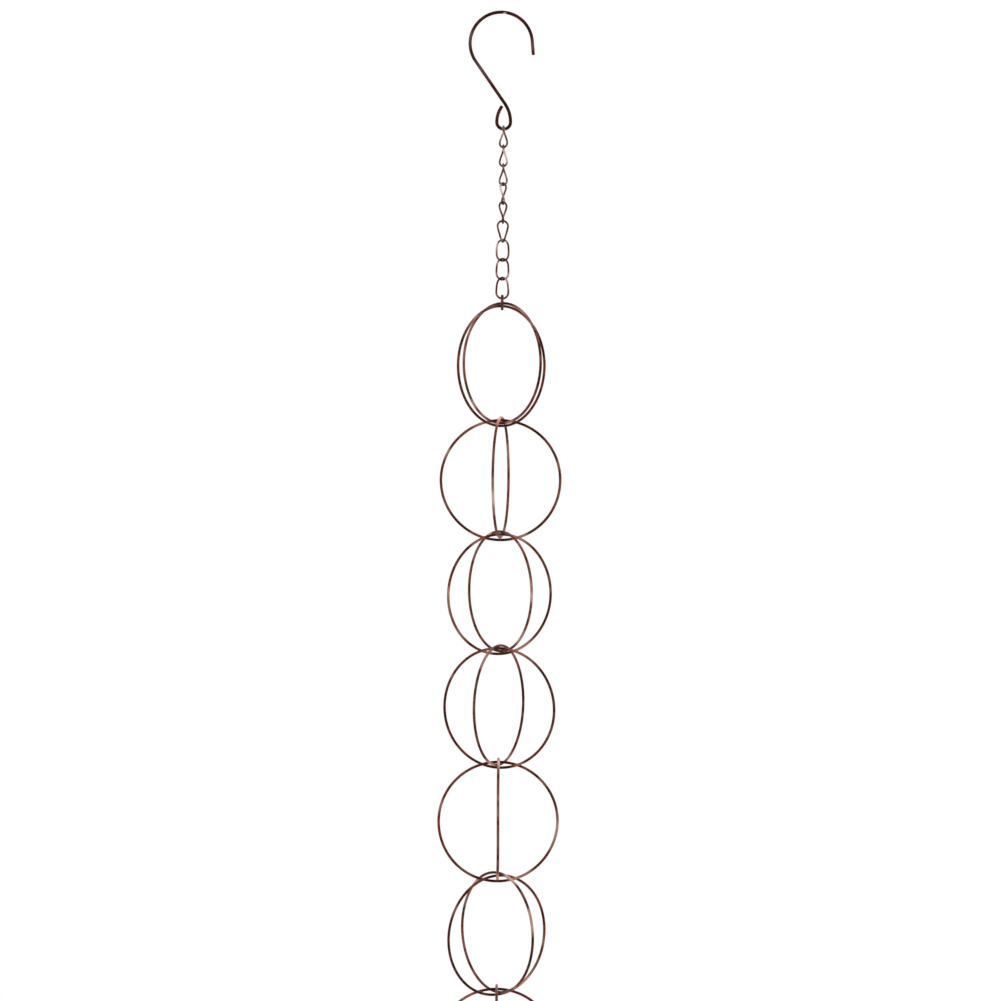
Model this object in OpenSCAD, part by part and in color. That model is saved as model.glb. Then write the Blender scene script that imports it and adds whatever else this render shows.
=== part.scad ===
// Rain chain of paired wire rings, hung from a wire hook by a short chain of twisted links.
// The origin is the seat of the hook, on the inside of its crown. +Z is up, and +X is to
// the right when the hook's open side is on the right.

/* [Large rings] */
// Outer diameter of each large ring
ring_d = 100; // [80:1:120]
// Wire of the large rings
ring_wire = 2.2; // [1.8:0.1:2.6]
// Number of ring pairs
pair_count = 7; // [1:1:12]

/* [Connector ring] */
// Outer diameter of the ring between the small links and the large rings
connector_d = 13; // [12.6:0.1:17]
// Wire of the connector ring
connector_wire = 2.4; // [2:0.1:2.6]

/* [Small links] */
// Number of small links
link_count = 9; // [1:1:12]
// Outer length of a link
link_len = 18.7; // [17:0.1:26]
// Outer width of a link
link_w = 11.4; // [10.5:0.1:13]
// Wire of the links
link_wire = 1.6; // [1.2:0.1:1.7]
// Angle between the planes of a link's two ends
link_twist = 50; // [46:1:60]

/* [Hook] */
// Wire of the hook
hook_wire = 2.7; // [2:0.1:3]
// Inner diameter of the crown
hook_inner_d = 48; // [40:1:60]
// How far the crown's middle stands to the left of the load
crown_offset = 2.5; // [0:0.5:4]
// Slant of the shank away from the vertical
shank_lean = 35; // [28:1:38]
// Straight tail below the crown, on the open side
tail_len = 11.5; // [5:0.5:20]
// Outer width of the eye
eye_w = 13.9; // [12:0.1:16]

/* [Fit] */
// Gap left between two wires that rest on each other
play = 0.1; // [0.05:0.05:0.15]

/* [Hidden] */
// Direction of each large ring, seen from above, for the lower and the upper ring of a pair
RING_TURNS = [[44, -50], [1, 82], [31, -58], [-23, 66], [4, -90], [36, -54], [0, 90]];
// Direction of the upper end of each small link, seen from above
LINK_TURNS = [85, 85, 85, 55, 47, 22, -30, -32, -38];
CONNECTOR_TURN = 90;

// Sides of a bent wire's mesh, and how finely its bends are divided
wire_sides = 10;
bend_steps = 10;
side_steps = 6;
step_angle = 9;
$fn = 48;

ring_r = (ring_d - ring_wire) / 2;
connector_r = (connector_d - connector_wire) / 2;
link_r = (link_w - link_wire) / 2;
link_half = (link_len - link_wire) / 2;

// Heights of the wire's centre line, from the hook down
crown_r = (hook_inner_d + hook_wire) / 2;
crown_z = -sqrt(pow(hook_inner_d / 2, 2) - pow(crown_offset, 2));
eye_r = (eye_w - hook_wire) / 2;
// The two sides of the eye are long arcs that close towards the shank
right_side_share = 4.7;
left_side_share = 4;
right_side_r = eye_r * right_side_share;
left_side_r = eye_r * left_side_share;
// The shank is as long as brings the eye straight below the seat
shank_side = crown_offset + crown_r * cos(shank_lean) + eye_r - right_side_r * (1 - cos(shank_lean));
shank_len = shank_side / sin(shank_lean);
eye_z = crown_z - (crown_r + right_side_r) * sin(shank_lean) - shank_len * cos(shank_lean);
hook_bottom_z = eye_z - eye_r;

link_top_z = hook_bottom_z + seat(hook_wire, link_wire);
link_pitch = 2 * link_half - seat(link_wire, link_wire);
last_link_bottom_z = link_top_z - link_count * link_pitch - seat(link_wire, link_wire);
connector_z = last_link_bottom_z + seat(link_wire, connector_wire) - connector_r;

ring_seat = seat(ring_wire, ring_wire);
first_ring_z = connector_z - connector_r + seat(connector_wire, ring_wire) - ring_r;
pair_pitch = 2 * (ring_r - ring_seat);

// Height of one wire's centre line above the wire that carries it
function seat(lower, upper) = (lower + upper) / 2 + play;

function turn_of(list, i) = list[(i - 1) % len(list)];

// Bent wire

function unit(v) = v / norm(v);

// Corners of the wire's section at one point of its path
function section_at(point, along, across, wire) =
    let (
        side = unit(across - along * (along * across)),
        up = cross(along, side)
    )
    [for (k = [0 : wire_sides - 1])
        let (angle = 360 * k / wire_sides)
        point + wire / 2 * (cos(angle) * side + sin(angle) * up)];

// Two triangles for each side of the wire between section i and the next
function band(i, next) =
    [for (k = [0 : wire_sides - 1])
        let (n = (k + 1) % wire_sides)
        each [[next * wire_sides + n, next * wire_sides + k, i * wire_sides + k],
              [i * wire_sides + n, next * wire_sides + n, i * wire_sides + k]]];

// Wire that follows a path. The across directions keep the section from turning.
module wire_along(path, across, wire, closed = false) {
    count = len(path);
    sections = [
        for (i = [0 : count - 1])
            let (
                before = closed ? path[(i + count - 1) % count] : path[max(i - 1, 0)],
                after = closed ? path[(i + 1) % count] : path[min(i + 1, count - 1)]
            )
            each section_at(path[i], unit(after - before), across[i], wire)
    ];
    bands = [
        for (i = [0 : count - (closed ? 1 : 2)]) each band(i, (i + 1) % count)
    ];
    ends = closed ? [] : [
        [for (k = [wire_sides - 1 : -1 : 0]) k],
        [for (k = [0 : wire_sides - 1]) (count - 1) * wire_sides + k]
    ];
    polyhedron(points = sections, faces = concat(bands, ends));
}

// Points along an arc in the XZ plane
function arc_points(centre, r, from, to) =
    let (steps = ceil(abs(to - from) / step_angle))
    [for (i = [0 : steps])
        let (angle = from + (to - from) * i / steps)
        centre + r * [cos(angle), 0, sin(angle)]];

// Hook

crown_centre = [-crown_offset, 0, crown_z];
// The tail leaves the crown a little above its widest point
tail_angle = 5;
tail_end = crown_at(tail_angle) + tail_len * [sin(tail_angle), 0, -cos(tail_angle)];
// The eye's two long sides turn about these centres
eye_centre = [0, 0, eye_z];
right_side_centre = eye_centre + [eye_r - right_side_r, 0, 0];
left_side_centre = eye_centre + [left_side_r - eye_r, 0, 0];
// The left side stops just short of the shank
left_side_end = 36;

function crown_at(angle) = crown_centre + crown_r * [cos(angle), 0, sin(angle)];

hook_path = concat(
    [tail_end],
    arc_points(crown_centre, crown_r, tail_angle, 180 + shank_lean),
    arc_points(right_side_centre, right_side_r, shank_lean, 0),
    arc_points(eye_centre, eye_r, -step_angle, -180),
    arc_points(left_side_centre, left_side_r, 180 - step_angle, 180 - left_side_end)
);

module hook() color("#3a211b") {
    wire_along(hook_path, [for (point = hook_path) [0, 1, 0]], hook_wire);
}

// Small links

// A flat oval, from its right side round over the top. Its half is a bow and then a side.
oval_half =
    let (straight = link_half - link_r)
    concat(
        [for (i = [0 : bend_steps - 1])
            let (angle = 180 * i / bend_steps)
            [link_r * cos(angle), straight + link_r * sin(angle)]],
        [for (i = [0 : side_steps - 1]) [-link_r, straight * (1 - 2 * i / side_steps)]]
    );
oval = concat(oval_half, -oval_half);

// How far the oval is turned at a height, from the upper end's turn to the lower end's
function twist_at(z) = link_twist / 2 * (1 - sin(90 * z / link_half));

module twisted_link(turn) {
    path = [for (p = oval) let (a = turn + twist_at(p[1])) [p[0] * cos(a), p[0] * sin(a), p[1]]];
    across = [for (p = oval) let (a = turn + twist_at(p[1])) [-sin(a), cos(a), 0]];
    wire_along(path, across, link_wire, closed = true);
}

module chain_link(i) color("#5a4038") {
    translate([0, 0, link_top_z - (i - 1) * link_pitch - link_half])
        twisted_link(turn_of(LINK_TURNS, i));
}

// Round rings

module wire_ring(r, wire, turn) {
    rotate([90, 0, turn]) rotate_extrude() translate([r, 0]) circle(d = wire);
}

module connector_ring() color("#5a4038") {
    translate([0, 0, connector_z]) wire_ring(connector_r, connector_wire, CONNECTOR_TURN);
}

// The lower ring of a pair is a, and b sits one wire higher and passes through it
module large_ring(i, side) color("#6b463c") {
    rise = side == 0 ? 0 : ring_seat;
    translate([0, 0, first_ring_z - (i - 1) * pair_pitch + rise])
        wire_ring(ring_r, ring_wire, turn_of(RING_TURNS, i)[side]);
}

hook();
for (i = [1 : link_count])
    chain_link(i);
connector_ring();
for (i = [1 : pair_count], side = [0, 1])
    large_ring(i, side);
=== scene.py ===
"""Rain chain: every bent copper wire is drawn here again, round and smooth, with patina and wear."""

from math import cos, pi, radians, sin, sqrt

import bmesh
import bpy
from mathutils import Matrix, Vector


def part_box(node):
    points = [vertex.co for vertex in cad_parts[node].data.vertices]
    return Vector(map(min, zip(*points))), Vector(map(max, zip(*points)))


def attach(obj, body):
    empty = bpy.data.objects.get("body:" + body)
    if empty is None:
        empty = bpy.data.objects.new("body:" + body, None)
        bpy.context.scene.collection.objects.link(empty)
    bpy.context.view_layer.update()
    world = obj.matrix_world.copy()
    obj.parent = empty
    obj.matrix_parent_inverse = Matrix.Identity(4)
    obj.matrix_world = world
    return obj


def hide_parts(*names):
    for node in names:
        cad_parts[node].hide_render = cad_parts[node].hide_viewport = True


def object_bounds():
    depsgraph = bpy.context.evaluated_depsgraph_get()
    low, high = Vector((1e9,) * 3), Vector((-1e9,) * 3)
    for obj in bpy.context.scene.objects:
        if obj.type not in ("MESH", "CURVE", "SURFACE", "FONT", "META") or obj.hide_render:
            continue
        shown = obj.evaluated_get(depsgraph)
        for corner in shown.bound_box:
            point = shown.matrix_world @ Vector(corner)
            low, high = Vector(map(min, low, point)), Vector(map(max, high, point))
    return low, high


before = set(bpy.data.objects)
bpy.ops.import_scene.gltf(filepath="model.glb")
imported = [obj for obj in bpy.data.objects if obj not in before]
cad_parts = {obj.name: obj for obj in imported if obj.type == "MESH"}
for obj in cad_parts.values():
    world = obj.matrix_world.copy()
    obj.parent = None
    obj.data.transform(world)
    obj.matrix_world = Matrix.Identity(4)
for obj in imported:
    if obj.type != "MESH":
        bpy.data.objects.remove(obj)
cad_box = [list(corner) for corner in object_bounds()]

UP = Vector((0, 0, 1))

# Lengths are in metres and angles in degrees

# Wires
HOOK_WIRE = 0.0027
LINK_WIRE = 0.0016
CONNECTOR_WIRE = 0.0024
RING_WIRE = 0.0022

# The plain model's bent wires have flat sides, so their boxes end a little inside the round wire
PLAIN_SIDES = 10
FLAT_SHARE = cos(pi / PLAIN_SIDES)

# Hook, as bent: the crown, its straight tail and the slanting shank
CROWN_R = 0.02535
CROWN_OFFSET = 0.0025
TAIL_ANGLE = 5
TAIL_LEN = 0.0115
# Where the tail's points lie, as shares of its length
TAIL_SHARES = (1, 0.9, 0.6, 0.3)
SHANK_LEAN = 35
# The eye's two sides are long arcs, and the left one ends just short of the shank
EYE_R = 0.0056
RIGHT_SIDE_R = EYE_R * 4.7
LEFT_SIDE_R = EYE_R * 4
LEFT_SIDE_END = 36

# Small links, each with the direction of its upper end, seen from above
LINK_R = 0.0049
LINK_TWIST = 50
LINK_TURNS = [85, 85, 85, 55, 47, 22, -30, -32, -38]

# Large rings: the direction of the lower and the upper ring of each pair, seen from above
RING_TURNS = [(44, -50), (1, 82), (31, -58), (-23, 66), (4, -90), (36, -54), (0, 90)]
CONNECTOR_TURN = 90

# The seam where a ring or link was closed
SEAM_GAP = 0.00005
CUT_ROUNDING = 0.00018
# The large rings' seams lie at the side, each pair's at its own height, which comes round again
RING_SEAMS = {"a": -38, "b": 200}
SEAM_SHIFT = 23
SEAM_CYCLE = 4
CONNECTOR_SEAM = 20
# A ring bent by hand is a little off true, except near its top and bottom
RING_SWAY = 0.0004
RING_DENT = 0.0003
DENT_WAVES = 3
TRUE_SHARE = 0.42

# How finely the wires are divided
WIRE_ROUNDNESS = 6
RING_STEP = 2
CONNECTOR_STEP = 5
HOOK_STEP = 2.5
LINK_STEP = 6
LINK_SIDE_STEPS = 26
CUT_STEPS = 3
SHARP_ANGLE = 55


def turned(angle):
    """The level direction at an angle from +X, seen from above."""
    return Vector((cos(radians(angle)), sin(radians(angle)), 0))


def centre_and_reach(node, wire):
    """A node's centre, and how far above it the wire's middle goes."""
    low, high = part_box(node)
    return (low + high) / 2, (high.z - low.z - wire) / 2


def wire_mesh(name, path, wire):
    """A round wire along a path, with both ends cut and rounded over."""
    curve = bpy.data.curves.new(name, "CURVE")
    curve.dimensions = "3D"
    curve.bevel_depth = wire / 2
    curve.bevel_resolution = WIRE_ROUNDNESS
    spline = curve.splines.new("POLY")
    spline.points.add(len(path) - 1)
    for point, place in zip(spline.points, path):
        point.co = (*place, 1)
    guide = bpy.data.objects.new(name, curve)
    mesh = bpy.data.meshes.new_from_object(guide)
    bpy.data.objects.remove(guide)
    bpy.data.curves.remove(curve)

    shape = bmesh.new()
    shape.from_mesh(mesh)
    rims = [edge for edge in shape.edges if edge.is_boundary]
    bmesh.ops.holes_fill(shape, edges=rims, sides=0)
    bmesh.ops.bevel(
        shape, geom=rims, offset=CUT_ROUNDING, affect="EDGES",
        segments=CUT_STEPS, profile=0.5, material=-1,
    )
    bmesh.ops.recalc_face_normals(shape, faces=shape.faces)
    shape.to_mesh(mesh)
    shape.free()
    mesh.shade_smooth()
    mesh.set_sharp_from_angle(angle=radians(SHARP_ANGLE))
    return mesh


def mark_touches(mesh, touches):
    """Writes at each point how far it is from the nearest place where wires touch."""
    away = mesh.attributes.new("touch_distance", "FLOAT", "POINT")
    for vertex, value in zip(mesh.vertices, away.data):
        value.value = min((vertex.co - touch).length for touch in touches)


def wire_piece(node, path, wire, touches, material):
    """The visible wire of one node, riding on the node's own body."""
    mesh = wire_mesh(node + "_wire", path, wire)
    mark_touches(mesh, touches)
    mesh.materials.append(material)
    piece = bpy.data.objects.new(node + "_wire", mesh)
    bpy.context.scene.collection.objects.link(piece)
    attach(piece, node)
    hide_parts(node)


# Shapes

def arc(centre, radius, start, end, step):
    """Points along an upright arc in the hook's plane, angles counted from +X towards +Z."""
    count = max(2, round(abs(end - start) / step))
    angles = [radians(start + (end - start) * i / count) for i in range(count + 1)]
    return [centre + radius * Vector((cos(a), 0, sin(a))) for a in angles]


def hook_path(eye):
    """The hook, from its tail over the crown and down the shank to the eye's cut end."""
    inside_r = CROWN_R - HOOK_WIRE / 2
    crown = Vector((-CROWN_OFFSET, 0, -sqrt(inside_r ** 2 - CROWN_OFFSET ** 2)))
    right_side = eye - Vector((RIGHT_SIDE_R - EYE_R, 0, 0))
    left_side = eye + Vector((LEFT_SIDE_R - EYE_R, 0, 0))
    crown_arc = arc(crown, CROWN_R, TAIL_ANGLE, 180 + SHANK_LEAN, HOOK_STEP)
    tail_way = Vector((sin(radians(TAIL_ANGLE)), 0, -cos(radians(TAIL_ANGLE))))
    side_step = HOOK_STEP / 2
    return (
        [crown_arc[0] + tail_way * TAIL_LEN * share for share in TAIL_SHARES]
        + crown_arc
        + arc(right_side, RIGHT_SIDE_R, SHANK_LEAN, 0, side_step)
        + arc(eye, EYE_R, 0, -180, HOOK_STEP * 2)[1:]
        + arc(left_side, LEFT_SIDE_R, 180, 180 - LEFT_SIDE_END, side_step)[1:]
    )


def link_path(centre, half, turn):
    """A flat oval, from its seam in the middle of one side round to the seam again, then twisted."""
    straight = half - LINK_R
    bow = [i * LINK_STEP for i in range(180 // LINK_STEP + 1)]
    side = [1 - 2 * i / LINK_SIDE_STEPS for i in range(1, LINK_SIDE_STEPS)]
    lower_half = [(LINK_R, straight * share) for share in side if share < 0]
    upper_half = [(LINK_R, straight * share) for share in side if share > 0]
    flat = (
        [(LINK_R, SEAM_GAP / 2)]
        + upper_half[::-1]
        + [(LINK_R * cos(radians(a)), straight + LINK_R * sin(radians(a))) for a in bow]
        + [(-LINK_R, straight * share) for share in side]
        + [(-LINK_R * cos(radians(a)), -straight - LINK_R * sin(radians(a))) for a in bow]
        + lower_half[::-1]
        + [(LINK_R, -SEAM_GAP / 2)]
    )
    path = []
    for out, height in flat:
        twist = LINK_TWIST / 2 * (1 - sin(pi / 2 * height / half))
        path.append(centre + turned(turn + twist) * out + UP * height)
    return path


def ring_path(centre, radius, turn, seam, sway=0.0, dent=0.0, step=RING_STEP):
    """A ring cut at the seam angle, which also sets where its waves lie."""
    along, beside = turned(turn), turned(turn + 90)
    gap = SEAM_GAP / 2 / radius
    count = round(360 / step)
    path = []
    for i in range(count + 1):
        angle = radians(seam) + gap + (2 * pi - 2 * gap) * i / count
        away = max(0, abs(cos(angle)) - TRUE_SHARE) / (1 - TRUE_SHARE)
        bent = radius - dent * away * (1 + sin(DENT_WAVES * angle + seam)) / 2
        path.append(
            centre
            + bent * (cos(angle) * along + sin(angle) * UP)
            + sway * away * sin(angle + seam) * beside
        )
    return path


# Finishes

# The patina is dull and hardly metallic. Where it is thin or rubbed off, the copper shows, pale and partly
# as a painted highlight.
PATINA_SPECULAR = 0.2
PATINA_METAL = 0.2
BARE_METAL = 0.9
SHEEN = 0.35
SHEEN_ROUGHNESS = 0.3
# How far the colour darkens towards the dark tone in the grime and painted shade near touches
GRIME_AND_SHADE = 0.85
# Added to a finish's roughness in the warm patches, and where the copper is bare
PATCH_DULL = 0.12
BARE_SHINE = -0.1
BUMP_STRENGTH = 0.35
BUMP_DEPTH = 0.00006

# Each mark of the patina: where its noise starts and is full, and its greatest share
PATCH_EDGES = (0.36, 0.66)
FLECK_EDGES = (0.56, 0.70)
FLECK_SHARE = 0.5
BLOOM_EDGES = (0.56, 0.74)
BLOOM_SHARE = 0.45
THICK_EDGES = (0.46, 0.34)
THICK_SHARE = 0.85
# The thin stretches stand partly for painted highlights along the wire
THIN_AND_HIGHLIGHT_EDGES = (0.50, 0.68)

# Rubbed spots, partly painted highlights, have a ragged edge
RUB_AND_HIGHLIGHT_EDGES = (0.72, 1.15)
RUB_AND_HIGHLIGHT_RAGGEDNESS = 0.9
# Grime and painted shade are full up to this share of their reach
GRIME_AND_SHADE_FULL = 0.3
# How much longer than wide the drawn lines are
LINE_STRETCH = 3.0


def colour(red, green, blue):
    """A colour as a paint chart gives it, 0 to 255, for a shader."""
    return (*[(((v / 255) + 0.055) / 1.055) ** 2.4 for v in (red, green, blue)], 1)


COPPER_GLOSS = colour(255, 168, 130)
COPPER_SHEEN = colour(255, 150, 118)


def add(tree, kind, values=(), **settings):
    """A shader node with its settings and its unlinked inputs."""
    node = tree.nodes.new(kind)
    for name, value in settings.items():
        setattr(node, name, value)
    for name, value in dict(values).items():
        node.inputs[name].default_value = value
    return node


def maths(tree, operation, first, second, clamp=False):
    """A Math node. Each side is a socket or a number."""
    node = add(tree, "ShaderNodeMath", operation=operation, use_clamp=clamp)
    for place, side in enumerate((first, second)):
        if isinstance(side, (int, float)):
            node.inputs[place].default_value = side
        else:
            tree.links.new(side, node.inputs[place])
    return node.outputs[0]


def ramp(tree, source, low, high):
    """0 at low, 1 at high, smooth between and level beyond."""
    limits = {"From Min": low, "From Max": high}
    node = add(tree, "ShaderNodeMapRange", limits, interpolation_type="SMOOTHSTEP")
    tree.links.new(source, node.inputs["Value"])
    return node.outputs["Result"]


def mixed(tree, share, first, second):
    """A colour between two, each a socket or a colour."""
    node = add(tree, "ShaderNodeMix", data_type="RGBA")
    tree.links.new(share, node.inputs["Factor"])
    for name, side in (("A", first), ("B", second)):
        socket = next(s for s in node.inputs if s.name == name and s.type == "RGBA")
        if isinstance(side, tuple):
            socket.default_value = side
        else:
            tree.links.new(side, socket)
    return next(s for s in node.outputs if s.type == "RGBA")


def group(name, inputs, outputs):
    """A new shader node group with the sockets that it is given, as (name, kind, value)."""
    tree = bpy.data.node_groups.new(name, "ShaderNodeTree")
    for socket, kind, value in inputs:
        made = tree.interface.new_socket(socket, in_out="INPUT", socket_type="NodeSocket" + kind)
        made.default_value = value
    for socket, kind in outputs:
        tree.interface.new_socket(socket, in_out="OUTPUT", socket_type="NodeSocket" + kind)
    return tree, tree.nodes.new("NodeGroupInput"), tree.nodes.new("NodeGroupOutput")


def patina_group():
    """Brown patina in soft patches, with small dark flecks, a pale bloom, and thick and thin stretches,
    the thin ones partly painted highlights.
    """
    tree, given, out = group(
        "patina",
        [
            ("Patch Scale", "Float", 130.0), ("Stretch Scale", "Float", 30.0),
            ("Dark", "Color", colour(60, 34, 27)), ("Warm", "Color", colour(104, 66, 54)),
            ("Bloom", "Color", colour(140, 104, 90)),
        ],
        [("Color", "Color"), ("Patches", "Float"), ("Thin And Highlight", "Float")],
    )
    place = add(tree, "ShaderNodeTexCoord").outputs["Object"]
    patches = add(tree, "ShaderNodeTexNoise", {"Detail": 4.0, "Roughness": 0.6})
    tree.links.new(given.outputs["Patch Scale"], patches.inputs["Scale"])
    stretches = add(tree, "ShaderNodeTexNoise", {"Detail": 2.5, "Roughness": 0.55})
    tree.links.new(given.outputs["Stretch Scale"], stretches.inputs["Scale"])
    flecks = add(tree, "ShaderNodeTexNoise", {"Scale": 1700.0, "Detail": 3.0, "Roughness": 0.7})
    bloom = add(tree, "ShaderNodeTexNoise", {"Scale": 420.0, "Detail": 5.0, "Roughness": 0.65})
    for noise in (patches, stretches, flecks, bloom):
        tree.links.new(place, noise.inputs["Vector"])
    patch_share = ramp(tree, patches.outputs["Fac"], *PATCH_EDGES)
    bloom_share = maths(tree, "MULTIPLY", ramp(tree, bloom.outputs["Fac"], *BLOOM_EDGES), BLOOM_SHARE)
    fleck_share = maths(tree, "MULTIPLY", ramp(tree, flecks.outputs["Fac"], *FLECK_EDGES), FLECK_SHARE)
    thick_share = maths(tree, "MULTIPLY", ramp(tree, stretches.outputs["Fac"], *THICK_EDGES), THICK_SHARE)
    thin_and_highlight_share = ramp(tree, stretches.outputs["Fac"], *THIN_AND_HIGHLIGHT_EDGES)
    tone = mixed(tree, patch_share, given.outputs["Dark"], given.outputs["Warm"])
    tone = mixed(tree, bloom_share, tone, given.outputs["Bloom"])
    tone = mixed(tree, fleck_share, tone, given.outputs["Dark"])
    tone = mixed(tree, thick_share, tone, given.outputs["Dark"])
    tree.links.new(tone, out.inputs["Color"])
    tree.links.new(patch_share, out.inputs["Patches"])
    tree.links.new(thin_and_highlight_share, out.inputs["Thin And Highlight"])
    return tree


def touch_group():
    """Round where wires touch: rubbed spots with a ragged edge, partly painted highlights, and dark grime
    and painted shade out to its reach.
    """
    tree, given, out = group(
        "touch",
        [("Rub And Highlight", "Float", 1.0), ("Rub And Highlight Reach", "Float", 0.0034), ("Grime And Shade Reach", "Float", 0.013)],
        [("Rubbed And Highlight", "Float"), ("Grime And Shade", "Float")],
    )
    away = add(tree, "ShaderNodeAttribute", attribute_name="touch_distance").outputs["Fac"]
    ragged = add(tree, "ShaderNodeTexNoise", {"Scale": 900.0, "Detail": 4.0, "Roughness": 0.65})
    tree.links.new(add(tree, "ShaderNodeTexCoord").outputs["Object"], ragged.inputs["Vector"])
    marked = ramp(tree, maths(tree, "DIVIDE", away, given.outputs["Rub And Highlight Reach"]), 1.0, 0.0)
    edge = maths(tree, "ADD", marked, maths(tree, "MULTIPLY", ragged.outputs["Fac"], RUB_AND_HIGHLIGHT_RAGGEDNESS))
    rubbed_and_highlight = maths(tree, "MULTIPLY", ramp(tree, edge, *RUB_AND_HIGHLIGHT_EDGES), given.outputs["Rub And Highlight"], clamp=True)
    tree.links.new(rubbed_and_highlight, out.inputs["Rubbed And Highlight"])
    grime_and_shade_way = maths(tree, "DIVIDE", away, given.outputs["Grime And Shade Reach"])
    tree.links.new(ramp(tree, grime_and_shade_way, 1.0, GRIME_AND_SHADE_FULL), out.inputs["Grime And Shade"])
    return tree


def drawn_group():
    """Fine lines along the wire, as the drawing die leaves them, and shallow dents from bending."""
    tree, given, out = group(
        "drawn_wire",
        [("Lines", "Float", 0.35), ("Dents", "Float", 0.65)],
        [("Height", "Float")],
    )
    around = add(tree, "ShaderNodeSeparateXYZ")
    tree.links.new(add(tree, "ShaderNodeTexCoord").outputs["UV"], around.inputs[0])
    angle = maths(tree, "MULTIPLY", around.outputs["X"], 2 * pi)
    section = add(tree, "ShaderNodeCombineXYZ")
    tree.links.new(maths(tree, "COSINE", angle, 0.0), section.inputs["X"])
    tree.links.new(maths(tree, "SINE", angle, 0.0), section.inputs["Y"])
    tree.links.new(maths(tree, "MULTIPLY", around.outputs["Y"], LINE_STRETCH), section.inputs["Z"])
    lines = add(tree, "ShaderNodeTexNoise", {"Scale": 7.0, "Detail": 2.0})
    tree.links.new(section.outputs[0], lines.inputs["Vector"])
    dents = add(tree, "ShaderNodeTexNoise", {"Scale": 260.0, "Detail": 2.0})
    tree.links.new(add(tree, "ShaderNodeTexCoord").outputs["Object"], dents.inputs["Vector"])
    height = maths(
        tree, "ADD",
        maths(tree, "MULTIPLY", lines.outputs["Fac"], given.outputs["Lines"]),
        maths(tree, "MULTIPLY", dents.outputs["Fac"], given.outputs["Dents"]),
    )
    tree.links.new(height, out.inputs["Height"])
    return tree


def placed(tree, inner, values=()):
    """A group's node in a material, with this material's own values."""
    return add(tree, "ShaderNodeGroup", values, node_tree=inner)


def copper_wire(
    name, dark, warm, bloom, bright_and_highlight, patch_scale, stretch_scale,
    thin_and_highlight, rub_and_highlight, rub_and_highlight_reach, grime_and_shade_reach, gloss,
):
    """Copper wire under a brown patina, paler where it is thin and bright where it rubs, both partly
    painted highlights, and darker with grime and painted shade near touches.
    """
    material = bpy.data.materials.new(name)
    material.use_nodes = True
    tree = material.node_tree
    shader = tree.nodes["Principled BSDF"]
    shader.inputs["Specular IOR Level"].default_value = PATINA_SPECULAR
    shader.inputs["Specular Tint"].default_value = COPPER_GLOSS
    shader.inputs["Sheen Weight"].default_value = SHEEN
    shader.inputs["Sheen Roughness"].default_value = SHEEN_ROUGHNESS
    shader.inputs["Sheen Tint"].default_value = COPPER_SHEEN
    patina = placed(tree, PATINA, {
        "Patch Scale": patch_scale, "Stretch Scale": stretch_scale,
        "Dark": dark, "Warm": warm, "Bloom": bloom,
    })
    touch = placed(tree, TOUCH, {"Rub And Highlight": rub_and_highlight, "Rub And Highlight Reach": rub_and_highlight_reach, "Grime And Shade Reach": grime_and_shade_reach}).outputs
    drawn = placed(tree, DRAWN)
    clear_of_grime_and_shade = maths(tree, "SUBTRACT", 1.0, touch["Grime And Shade"])
    worn_thin_and_highlight = maths(tree, "MULTIPLY", maths(tree, "MULTIPLY", patina.outputs["Thin And Highlight"], thin_and_highlight), clear_of_grime_and_shade)
    # Thin and rubbed places take the bright colour: partly bare copper, partly a painted highlight
    bare_and_highlight = maths(tree, "ADD", worn_thin_and_highlight, touch["Rubbed And Highlight"], clamp=True)
    # Near touches the colour darkens: partly grime, partly painted shade between the wires
    aged_and_shaded = mixed(tree, maths(tree, "MULTIPLY", touch["Grime And Shade"], GRIME_AND_SHADE), patina.outputs["Color"], dark)
    tree.links.new(mixed(tree, bare_and_highlight, aged_and_shaded, bright_and_highlight), shader.inputs["Base Color"])
    metal = maths(tree, "ADD", maths(tree, "MULTIPLY", bare_and_highlight, BARE_METAL - PATINA_METAL), PATINA_METAL)
    tree.links.new(metal, shader.inputs["Metallic"])
    shine = maths(tree, "MULTIPLY", bare_and_highlight, BARE_SHINE)
    patchy = maths(tree, "ADD", maths(tree, "MULTIPLY", patina.outputs["Patches"], PATCH_DULL), shine)
    tree.links.new(maths(tree, "ADD", patchy, gloss), shader.inputs["Roughness"])
    bump = add(tree, "ShaderNodeBump", {"Strength": BUMP_STRENGTH, "Distance": BUMP_DEPTH})
    tree.links.new(drawn.outputs["Height"], bump.inputs["Height"])
    tree.links.new(bump.outputs["Normal"], shader.inputs["Normal"])
    return material


PATINA = patina_group()
TOUCH = touch_group()
DRAWN = drawn_group()
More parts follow.
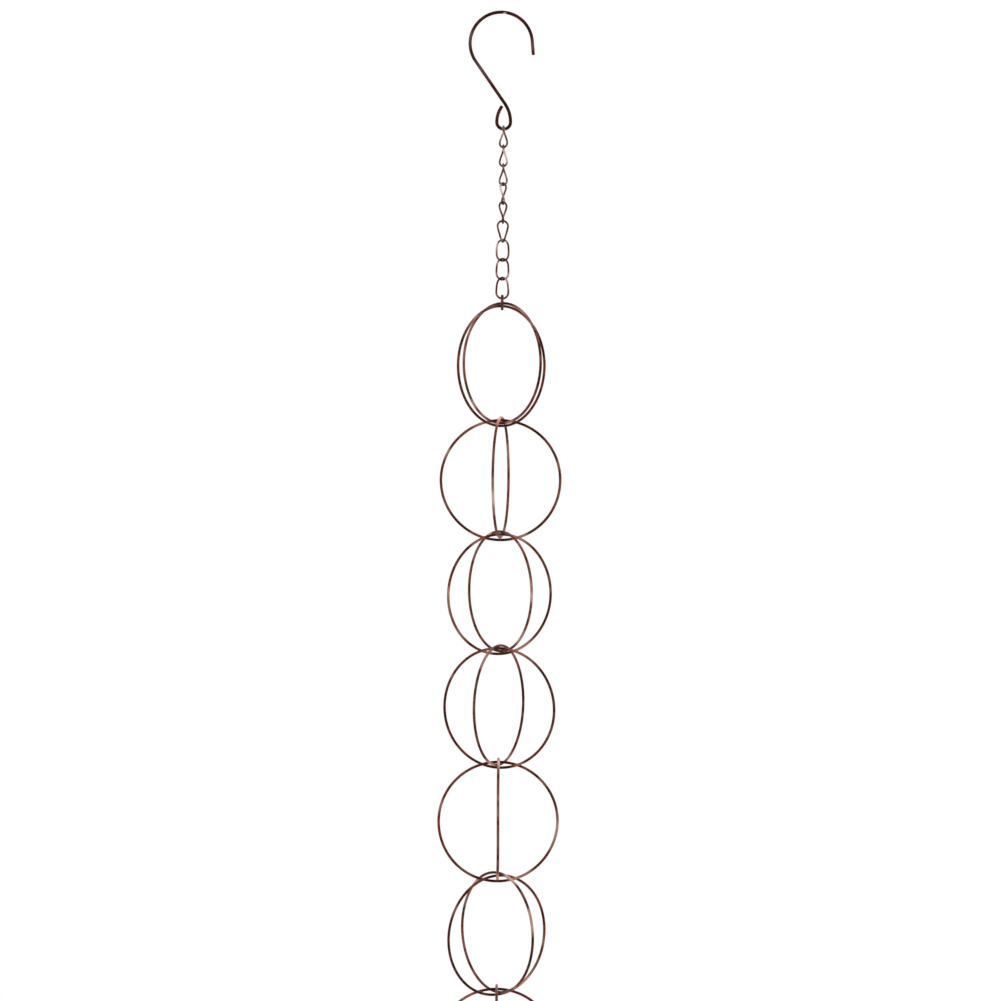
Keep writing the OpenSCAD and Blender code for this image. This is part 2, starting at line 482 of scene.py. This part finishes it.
# Each finish's bright colour is partly a painted highlight, and its darkening near touches is partly
# painted shade
HOOK_FINISH = copper_wire(
    "hook_patina", dark=colour(24, 8, 5), warm=colour(74, 24, 17), bloom=colour(108, 54, 42),
    bright_and_highlight=colour(206, 184, 174), patch_scale=120.0, stretch_scale=34.0, thin_and_highlight=0.12,
    rub_and_highlight=0.9, rub_and_highlight_reach=0.0034, grime_and_shade_reach=0.010, gloss=0.34,
)
LINK_FINISH = copper_wire(
    "link_patina", dark=colour(62, 20, 14), warm=colour(124, 88, 76), bloom=colour(154, 128, 118),
    bright_and_highlight=colour(204, 178, 168), patch_scale=170.0, stretch_scale=60.0, thin_and_highlight=0.9,
    rub_and_highlight=0.25, rub_and_highlight_reach=0.0016, grime_and_shade_reach=0.0055, gloss=0.38,
)
CONNECTOR_FINISH = copper_wire(
    "connector_patina", dark=colour(20, 8, 5), warm=colour(58, 24, 16), bloom=colour(92, 50, 38),
    bright_and_highlight=colour(164, 104, 88), patch_scale=170.0, stretch_scale=60.0, thin_and_highlight=0.3,
    rub_and_highlight=0.25, rub_and_highlight_reach=0.002, grime_and_shade_reach=0.006, gloss=0.34,
)
RING_FINISH = copper_wire(
    "ring_patina", dark=colour(38, 10, 4), warm=colour(112, 44, 24), bloom=colour(154, 98, 80),
    bright_and_highlight=colour(200, 150, 132), patch_scale=110.0, stretch_scale=30.0, thin_and_highlight=0.6,
    rub_and_highlight=0.24, rub_and_highlight_reach=0.0025, grime_and_shade_reach=0.014, gloss=0.34,
)
# A lighter copy of the ring finish: painted light for the second ring of each pair
RING_FINISH_PAINTED_LIGHTER = copper_wire(
    "ring_patina_painted_lighter", dark=colour(38, 13, 8), warm=colour(126, 68, 48), bloom=colour(170, 126, 110),
    bright_and_highlight=colour(208, 174, 160), patch_scale=110.0, stretch_scale=26.0, thin_and_highlight=0.9,
    rub_and_highlight=0.24, rub_and_highlight_reach=0.0025, grime_and_shade_reach=0.014, gloss=0.32,
)


# Pieces

def ends_of(centre, reach):
    """The two places where a hanging piece touches its neighbours."""
    return [centre + UP * reach, centre - UP * reach]


# The rubbed spot where the hook sits is partly a painted highlight
seat = Vector((0, 0, 0))
eye_bottom = Vector((0, 0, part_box("hook")[0].z + HOOK_WIRE * FLAT_SHARE / 2))
path = hook_path(eye_bottom + UP * EYE_R)
wire_piece("hook", path, HOOK_WIRE, [seat, eye_bottom], HOOK_FINISH)

for number, turn in enumerate(LINK_TURNS, start=1):
    node = f"chain_link_{number}"
    centre, reach = centre_and_reach(node, LINK_WIRE * FLAT_SHARE)
    path = link_path(centre, reach, turn)
    wire_piece(node, path, LINK_WIRE, ends_of(centre, reach), LINK_FINISH)

node = "connector_ring"
centre, reach = centre_and_reach(node, CONNECTOR_WIRE)
path = ring_path(centre, reach, CONNECTOR_TURN, CONNECTOR_SEAM, step=CONNECTOR_STEP)
wire_piece(node, path, CONNECTOR_WIRE, ends_of(centre, reach), CONNECTOR_FINISH)

for number, turns in enumerate(RING_TURNS, start=1):
    for side, turn in zip("ab", turns):
        node = f"ring_{number}{side}"
        centre, reach = centre_and_reach(node, RING_WIRE)
        seam = RING_SEAMS[side] + SEAM_SHIFT * (number % SEAM_CYCLE)
        path = ring_path(centre, reach, turn, seam, RING_SWAY, RING_DENT)
        # The second ring of each pair is painted lighter
        finish = RING_FINISH if side == "a" else RING_FINISH_PAINTED_LIGHTER
        wire_piece(node, path, RING_WIRE, ends_of(centre, reach), finish)


# Studio

FLOOR_DROP = 0.12
FLOOR_SIZE = 60.0
FLOOR_TONE = (0.86, 0.86, 0.86, 1)
# How much of its light and shade the floor shows below the chain, and where that starts to fade
# and ends, in metres away from there
SHADOW_SHARE = 0.25
SHADOW_START = 0.1
SHADOW_END = 0.7
# The world lights the chain with the first strength. Seen or mirrored, the second makes it white.
WORLD_LIGHT = 0.55
WORLD_SEEN = 0.45
# Each lamp: its name, its place from the chain's middle, its width and height, and its watts
LAMPS = (
    ("key", (-1.5, -1.9, 0.9), 1.4, 1.8, 26),
    ("fill", (1.8, -1.2, 0.1), 1.2, 1.8, 10),
    ("back", (0.6, 2.2, 0.9), 1.6, 1.2, 12),
)
# The camera looks a little down, at this height on the chain
AIM_HEIGHT = -0.3964
CAMERA_DISTANCE = 2.860
CAMERA_PITCH = 1.3
CAMERA_SIDE = -0.0006
CAMERA_ROLL = -0.465
# The sensor is in millimetres, and the picture and the focal length are in pixels
SENSOR = 36.0
PICTURE_SIDE = 1001
FOCAL_PIXELS = 3500


def pale_surface(name):
    """White to the camera, but near the chain's foot it shows a share of its light and shade."""
    material = bpy.data.materials.new(name)
    material.use_nodes = True
    tree = material.node_tree
    shader = tree.nodes["Principled BSDF"]
    shader.inputs["Base Color"].default_value = FLOOR_TONE
    shader.inputs["Roughness"].default_value = 0.9
    shader.inputs["Specular IOR Level"].default_value = 0.1
    white = add(tree, "ShaderNodeEmission", {"Color": (1, 1, 1, 1), "Strength": 1.0})
    rays = add(tree, "ShaderNodeLightPath").outputs
    seen = maths(tree, "ADD", rays["Is Camera Ray"], rays["Is Glossy Ray"], clamp=True)
    place = add(tree, "ShaderNodeSeparateXYZ")
    tree.links.new(add(tree, "ShaderNodeTexCoord").outputs["Object"], place.inputs[0])
    level = add(tree, "ShaderNodeCombineXYZ")
    tree.links.new(place.outputs["X"], level.inputs["X"])
    tree.links.new(place.outputs["Y"], level.inputs["Y"])
    away = add(tree, "ShaderNodeVectorMath", operation="LENGTH")
    tree.links.new(level.outputs[0], away.inputs[0])
    near = ramp(tree, away.outputs["Value"], SHADOW_END, SHADOW_START)
    kept = maths(tree, "SUBTRACT", 1.0, maths(tree, "MULTIPLY", near, SHADOW_SHARE))
    blend = add(tree, "ShaderNodeMixShader")
    tree.links.new(maths(tree, "MULTIPLY", seen, kept), blend.inputs[0])
    tree.links.new(shader.outputs[0], blend.inputs[1])
    tree.links.new(white.outputs[0], blend.inputs[2])
    tree.links.new(blend.outputs[0], tree.nodes["Material Output"].inputs["Surface"])
    return material


def studio():
    """A pale floor far below the chain, white all round, and soft light."""
    scene = bpy.context.scene
    shape = bmesh.new()
    bmesh.ops.create_grid(shape, x_segments=1, y_segments=1, size=FLOOR_SIZE / 2)
    bmesh.ops.translate(shape, verts=shape.verts, vec=(0, 0, cad_box[0][2] - FLOOR_DROP))
    mesh = bpy.data.meshes.new("floor")
    shape.to_mesh(mesh)
    shape.free()
    mesh.materials.append(pale_surface("pale_floor"))
    floor = bpy.data.objects.new("floor", mesh)
    scene.collection.objects.link(floor)

    world = bpy.data.worlds.new("studio")
    world.use_nodes = True
    scene.world = world
    tree = world.node_tree
    rays = add(tree, "ShaderNodeLightPath").outputs
    seen = maths(tree, "ADD", rays["Is Camera Ray"], rays["Is Glossy Ray"], clamp=True)
    seen = maths(tree, "ADD", seen, rays["Is Transmission Ray"], clamp=True)
    background = tree.nodes["Background"]
    background.inputs["Color"].default_value = (1, 1, 1, 1)
    strength = maths(tree, "ADD", maths(tree, "MULTIPLY", seen, WORLD_SEEN), WORLD_LIGHT)
    tree.links.new(strength, background.inputs["Strength"])

    middle = Vector((0, 0, (cad_box[0][2] + cad_box[1][2]) / 2))
    for name, place, width, height, power in LAMPS:
        lamp = bpy.data.lights.new(name, "AREA")
        lamp.shape = "RECTANGLE"
        lamp.size, lamp.size_y, lamp.energy = width, height, power
        light = bpy.data.objects.new(name, lamp)
        light.location = middle + Vector(place)
        light.rotation_euler = (-Vector(place)).to_track_quat("-Z", "Y").to_euler()
        scene.collection.objects.link(light)

    lens = bpy.data.cameras.new("camera")
    lens.sensor_width = SENSOR
    lens.lens = SENSOR * FOCAL_PIXELS / PICTURE_SIDE
    lens.clip_start, lens.clip_end = 0.05, 100
    camera = bpy.data.objects.new("camera", lens)
    pitch = radians(CAMERA_PITCH)
    height = AIM_HEIGHT + CAMERA_DISTANCE * sin(pitch)
    camera.location = (CAMERA_SIDE, -CAMERA_DISTANCE * cos(pitch), height)
    camera.rotation_euler = (radians(90) - pitch, radians(CAMERA_ROLL), 0)
    scene.collection.objects.link(camera)
    scene.camera = camera
    scene.view_settings.view_transform = "Standard"


studio()
